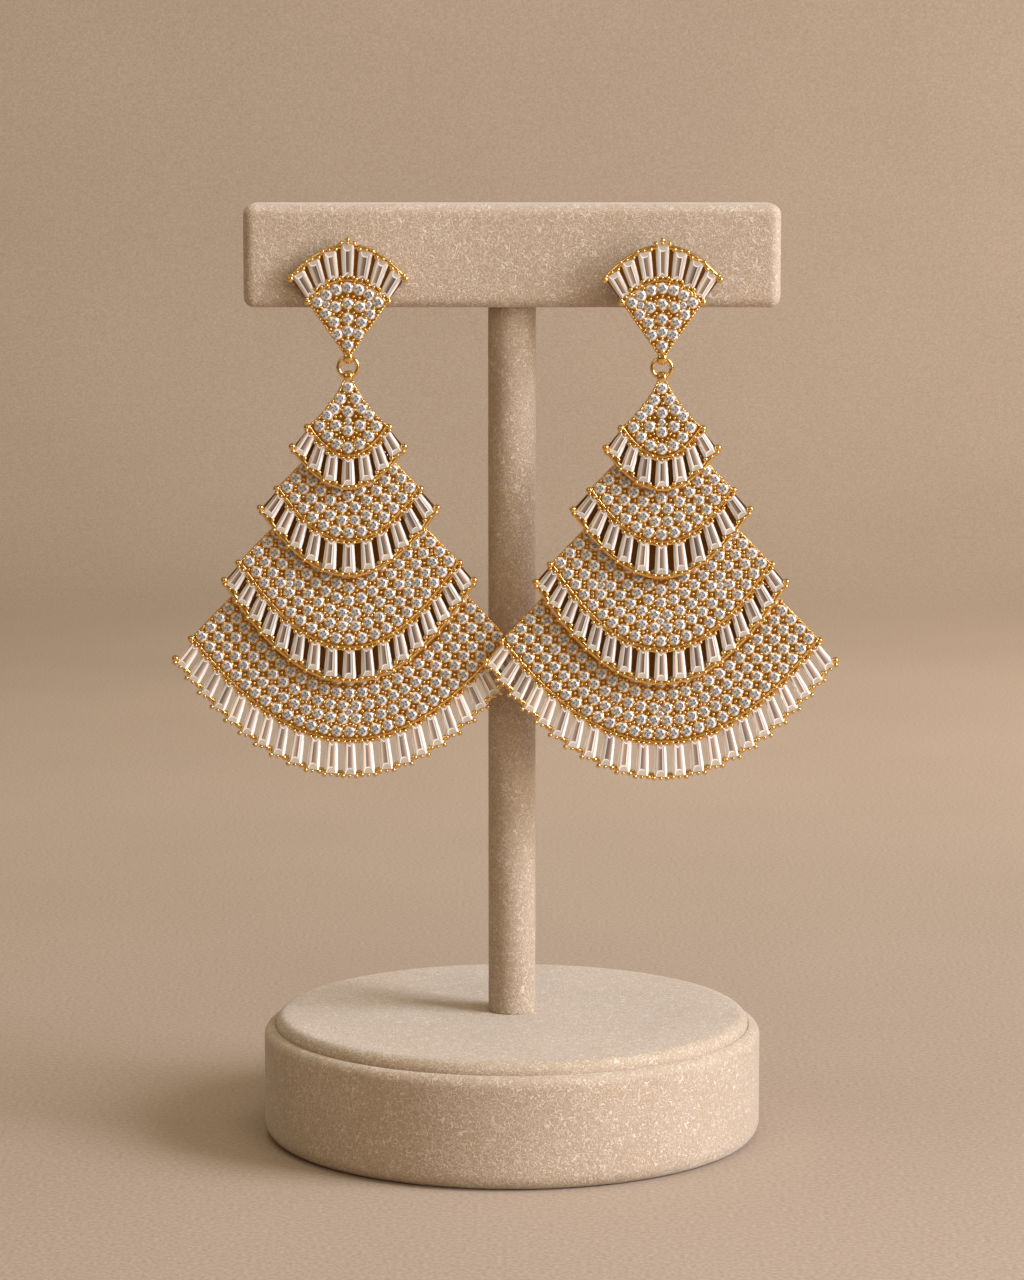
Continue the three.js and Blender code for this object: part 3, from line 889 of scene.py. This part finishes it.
def add_tube(shape, path, depth, radius, sides=8):
    """A round wire laid along a line of places on the casting, closed at both ends."""
    points = []
    for i, at in enumerate(path):
        before, after = path[max(i - 1, 0)], path[min(i + 1, len(path) - 1)]
        run = (after - before).normalized()
        across = Vector((-run.y, run.x))
        for side in range(sides):
            around = math.tau * side / sides
            off = at + across * (radius * math.cos(around))
            points.append((off.x, -depth + radius * math.sin(around), off.y))
    faces = []
    for i in range(len(path) - 1):
        for side in range(sides):
            after = (side + 1) % sides
            a, b = i * sides, (i + 1) * sides
            faces.append((a + side, a + after, b + after, b + side))
    faces.append(tuple(range(sides - 1, -1, -1)))
    faces.append(tuple(range(len(points) - sides, len(points))))
    shape.add(points, faces, smooth=True)


def add_bead_line(shape, path, depth, radius, pitch):
    """A line of beads raised along the edge of a casting."""
    lengths = [(b - a).length for a, b in zip(path, path[1:])]
    count = round(sum(lengths) / pitch)
    for i in range(count + 1):
        left = sum(lengths) * i / count
        step = 0
        while step < len(lengths) - 1 and left > lengths[step]:
            left -= lengths[step]
            step += 1
        at = path[step].lerp(path[step + 1], min(1, left / lengths[step]))
        add_bead(shape, at, depth, radius, tall=1.2)


def add_rim_wire(shape, rim, sides):
    """The polished wire along a plate's rim, and the beaded edge down its sides."""
    add_tube(shape, [at for at, _ in rim.along(even(60), 0.1)], PLATE, RIM_WIRE)
    for line in sides:
        add_tube(shape, line, PLATE - 0.05, SIDE_WIRE)
        add_bead_line(shape, line, PLATE, SIDE_BEAD, SIDE_BEAD_PITCH)


def add_loop(shape, radius, wire, middle_depth, upright=True, wide=1.0):
    """A ring of wire about the casting's centre: upright and that much wider, or flat."""
    around, about = 36, 12
    points = []
    for i in range(around):
        a = math.tau * i / around
        for k in range(about):
            b = math.tau * k / about
            reach, off = radius + wire * math.cos(b), wire * math.sin(b)
            if upright:
                points.append((off * wide, -middle_depth + reach * math.cos(a),
                               reach * math.sin(a)))
            else:
                points.append((reach * math.sin(a), -middle_depth + off, reach * math.cos(a)))
    faces = []
    for i in range(around):
        for k in range(about):
            a, b = i * about, (i + 1) % around * about
            faces.append((a + k, b + k, b + (k + 1) % about, a + (k + 1) % about))
    shape.add(points, faces, smooth=True)


for side in SIDES:
    body = "stand_and_studs"
    place = stud_place(side)
    rim = STUD_FAN["rim"]
    places = pointed_places(rim, APEX, POINTED_ROWS["stud"])
    dice = random.Random(f"{side} stud")
    stones = Shape()
    wires = Shape()
    for at in places:
        add_round_stone(stones, at, dice)
    add_bead_web(wires, stones, places, dice)
    casting = Shape()
    outline = [Vector((-STUD_APEX_HALF, APEX)), *(at for at, _ in rim.along(even(24))),
               Vector((STUD_APEX_HALF, APEX))]
    add_plate(casting, outline, PLATE)
    add_loop(wires, EYE_RADIUS, EYE_WIRE, PLATE / 2, wide=EYE_WIDTH)
    crown = Vector((0, STUD_FAN["edge"].middle + 0.75))
    add_bead(wires, crown, 0.75, CROWN_BALL, tall=1.1, ball=END_BALL)
    add_bead(wires, Vector((0, APEX + 0.3)), PLATE - 0.1, POINT_BALL, ball=END_BALL)
    add_rim_wire(wires, rim, [
        [Vector((sign * STUD_APEX_HALF, APEX)), Vector((sign * rim.half, rim.corner))]
        for sign in (-1, 1)])
    backing = Shape()
    add_recess(backing, STUD_FAN, back=0, thick=BACKING)
    cut = stones.piece(f"{side}_stud_round_stones", crystal, place, body, shaded=True)
    plate = casting.piece(f"{side}_stud_casting", shade_painted_web_gold, place, body)
    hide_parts(f"{side}_stud_plate")
    wire = wires.piece(f"{side}_stud_wires_and_beads", polished_gold, place, body)
    # Painted shadow: the backing's gold is painted near brown, for the shade behind the baguettes.
    shield = backing.piece(f"{side}_stud_backing", painted_shadow_gold, place, body)
    make_baguette_row(f"{side}_stud_baguette", STUD_FAN, place, body, f"{side}_stud_baguettes")
    dress(f"{side}_ear_post", polished_gold)
    loop = Shape()
    add_loop(loop, RING_RADIUS, RING_WIRE, PLATE / 2, upright=False)
    ring_place = place @ Matrix.Translation((0, 0, -RING_RADIUS))
    ring = loop.piece(f"{side}_round_jump_ring", polished_gold, ring_place, f"{side}_drop")
    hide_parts(f"{side}_jump_ring")

# The drops
# Four castings are soldered one behind the other like roof tiles, the smallest in front.
# The round stones stop where the comb above begins; between its baguettes, gold painted dark is
# painted shadow.

DROP_APEX_HALF = 0.6
PLATE_OVERLAP = 1.4


def hollow_side(rim, sign):
    """The hollow side of the top fan, from its point to its corner."""
    a = Vector((DROP_APEX_HALF, -APEX))
    b = Vector((rim.half * 0.4, -APEX + 0.58 * (rim.corner + APEX)))
    c = Vector((rim.half, rim.corner))
    line = []
    for t in even(10):
        p = a * (1 - t) ** 2 + b * (2 * t * (1 - t)) + c * t**2
        line.append(Vector((p.x * sign, p.y)))
    return line


def leaning_side(rim, above, sign):
    """The straight side of a lower fan, from under the fan above down to its corner."""
    rise = 0.0
    while True:
        at = Vector((rim.half - rise / FAN_SIDE_RISE, rim.corner + rise))
        if at.y > above["rim"].height(at.x) + PLATE_OVERLAP:
            break
        rise += 0.1
    return [Vector((at.x * sign, at.y)), Vector((rim.half * sign, rim.corner))]


# How far a lower fan's first row of round stones lies inside its rim, and its rows' spacing
ROW_SPACING = {1: (0.95, 1.68), 2: (1.0, 1.78), 3: (1.0, 1.78)}

for side in SIDES:
    body = f"{side}_drop"
    for tier, fan_ in enumerate(DROP_FANS):
        place = fan_place(side, tier)
        rim = fan_["rim"]
        name = f"{side}_fan_{tier + 1}"
        dice = random.Random(name)
        wires = Shape()
        if tier == 0:
            places = pointed_places(rim, -APEX, POINTED_ROWS["top"])
            sides = [hollow_side(rim, -1), hollow_side(rim, 1)]
            casting = Shape()
            outline = sides[0] + [at for at, _ in rim.along(even(24))][1:] + sides[1][::-1][1:]
            add_plate(casting, outline, PLATE)
            add_loop(wires, EYE_RADIUS, EYE_WIRE, PLATE / 2, wide=EYE_WIDTH)
            plate = casting.piece(f"{name}_casting", shade_painted_web_gold, place, body)
            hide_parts(f"{name}_plate")
        else:
            above = DROP_FANS[tier - 1]
            places = band_places(rim, above, *ROW_SPACING[tier])
            sides = [leaning_side(rim, above, -1), leaning_side(rim, above, 1)]
            dress(f"{name}_plate", shade_painted_web_gold)
            # Painted shadow: a thin sheet of the darkest gold just in front of the plate, behind
            # the comb above.
            recess = Shape()
            add_recess(recess, above, back=PLATE + 0.01, thick=0.06)
            band = recess.piece(f"{name}_painted_shade_band", painted_shadow_gold, place, body)
        stones = Shape()
        for at in places:
            add_round_stone(stones, at, dice)
        add_rim_wire(wires, rim, sides)
        add_bead_web(wires, stones, places, dice)
        cut = stones.piece(f"{name}_round_stones", crystal, place, body, shaded=True)
        wire = wires.piece(f"{name}_wires_and_beads", polished_gold, place, body)
        make_baguette_row(f"{name}_baguette", fan_, place, body, f"{name}_baguettes")

# The shooting table
# A sheet of warm beige paper runs from the table up the wall behind in one soft curve.
# A large soft light stands to the right, with weak fills, a wash on the paper and a small glint.

paper, paper_shader = new_material("backdrop_paper")
paper_shader.inputs["Roughness"].default_value = 0.9
paper_shader.inputs["Specular IOR Level"].default_value = 0.1
fibre = add_node(paper, "ShaderNodeTexNoise", Scale=1500, Detail=3)
place_on_paper = paper.node_tree.nodes.new("ShaderNodeTexCoord")
link(paper, place_on_paper, "Object", fibre, "Vector")
speckle = colour_ramp(paper, [(0.3, (0.392, 0.299, 0.223)), (0.7, (0.482, 0.383, 0.299))])
link(paper, fibre, "Fac", speckle, "Fac")
cloud = add_node(paper, "ShaderNodeTexNoise", Scale=9, Detail=3)
link(paper, place_on_paper, "Object", cloud, "Vector")
mottle = colour_ramp(paper, [(0.35, (0.95, 0.945, 0.94)), (0.65, (1, 1, 1))])
link(paper, cloud, "Fac", mottle, "Fac")
mottled = multiplied(paper, speckle, "Color", mottle, "Color")
link(paper, mottled, 2, paper_shader, "Base Color")
tooth = add_node(paper, "ShaderNodeBump", Strength=0.5, Distance=0.00015)
link(paper, fibre, "Fac", tooth, "Height")
link(paper, tooth, "Normal", paper_shader, "Normal")

SWEEP_HALF = 1.6
SWEEP_START, SWEEP_WALL, SWEEP_RADIUS, SWEEP_TOP = -0.9, 0.88, 0.26, 1.4
profile = [(SWEEP_START, 0.0), (-0.3, 0.0), (0.0, 0.0)]
for i in range(17):
    turn = math.pi / 2 * i / 16
    profile.append((SWEEP_WALL - SWEEP_RADIUS + SWEEP_RADIUS * math.sin(turn),
                    SWEEP_RADIUS - SWEEP_RADIUS * math.cos(turn)))
profile.append((SWEEP_WALL, SWEEP_TOP))
sweep_points = [(x, y, z) for y, z in profile for x in (-SWEEP_HALF, SWEEP_HALF)]
sweep_faces = [(2 * i, 2 * i + 1, 2 * i + 3, 2 * i + 2) for i in range(len(profile) - 1)]
sweep_mesh = bpy.data.meshes.new("backdrop_sweep")
sweep_mesh.from_pydata(sweep_points, [], sweep_faces)
sweep_mesh.polygons.foreach_set("use_smooth", [True] * len(sweep_faces))
sweep_mesh.materials.append(paper)
sweep = bpy.data.objects.new("backdrop_sweep", sweep_mesh)
bpy.context.scene.collection.objects.link(sweep)


def softbox(name, place, aim, size, power, colour, shows_in_gold=True, lights_cloth=True):
    """An area light turned to a point. A weak fill doesn't show in the polished gold."""
    lamp = bpy.data.lights.new(name, "AREA")
    lamp.shape = "RECTANGLE"
    lamp.size, lamp.size_y = size
    lamp.energy = power
    lamp.color = colour
    made = bpy.data.objects.new(name, lamp)
    made.location = place
    made.rotation_euler = (Vector(aim) - Vector(place)).to_track_quat("-Z", "Y").to_euler()
    made.visible_glossy = shows_in_gold
    made.visible_diffuse = lights_cloth
    bpy.context.scene.collection.objects.link(made)


OBJECT_MIDDLE = (0, 0, 0.07)
softbox("key_softbox", (0.65, -0.26, 0.43), OBJECT_MIDDLE, (0.40, 0.40), 7.2, (0.95, 0.99, 1.15))
for name, place, aim, size, power, colour in (
        ("front_fill", (0.15, -0.9, 0.55), OBJECT_MIDDLE, (0.7, 0.5), 2.6, (1.0, 0.90, 0.73)),
        ("top_fill", (0.0, 0.0, 0.8), OBJECT_MIDDLE, (0.6, 0.4), 1.6, (1.0, 0.94, 0.84)),
        ("low_right_fill", (0.6, -0.36, 0.06), OBJECT_MIDDLE, (0.3, 0.25), 2.2,
         (0.98, 0.97, 0.95)),
        ("backdrop_wash", (0.26, 0.36, 0.36), (0.02, 0.84, 0.02), (0.5, 0.2), 1.35,
         (1.0, 0.95, 0.86))):
    softbox(name, place, aim, size, power, colour, shows_in_gold=False)
softbox("glint_card", (-0.36, -0.5, 0.52), OBJECT_MIDDLE, (0.22, 0.22), 0.4, (1.0, 0.96, 0.88),
        lights_cloth=False)

world = bpy.data.worlds.new("studio_room")
world.use_nodes = True
room = world.node_tree.nodes
look = room.new("ShaderNodeTexCoord")
tall = room.new("ShaderNodeSeparateXYZ")
walls = room.new("ShaderNodeValToRGB")
walls.color_ramp.elements[0].position = 0.05
walls.color_ramp.elements[0].color = (0.34, 0.22, 0.105, 1)
walls.color_ramp.elements[1].position = 0.75
walls.color_ramp.elements[1].color = (1.05, 0.85, 0.55, 1)
world.node_tree.links.new(look.outputs["Generated"], tall.inputs["Vector"])
world.node_tree.links.new(tall.outputs["Z"], walls.inputs["Fac"])
world.node_tree.links.new(walls.outputs["Color"], room["Background"].inputs["Color"])
ray = room.new("ShaderNodeLightPath")
dim = room.new("ShaderNodeMapRange")
dim.inputs["To Min"].default_value = 0.35
dim.inputs["To Max"].default_value = 0.25
world.node_tree.links.new(ray.outputs["Is Glossy Ray"], dim.inputs["Value"])
world.node_tree.links.new(dim.outputs["Result"], room["Background"].inputs["Strength"])
bpy.context.scene.world = world

lens = bpy.data.cameras.new("photo_camera")
lens.lens = 118.1
lens.sensor_width = 36
camera = bpy.data.objects.new("photo_camera", lens)
camera.location = (0, -0.5899, 0.1465)
camera.rotation_euler = (math.radians(90 - 7.3), 0, 0)
bpy.context.scene.collection.objects.link(camera)
bpy.context.scene.camera = camera
bpy.context.scene.view_settings.view_transform = "Standard"
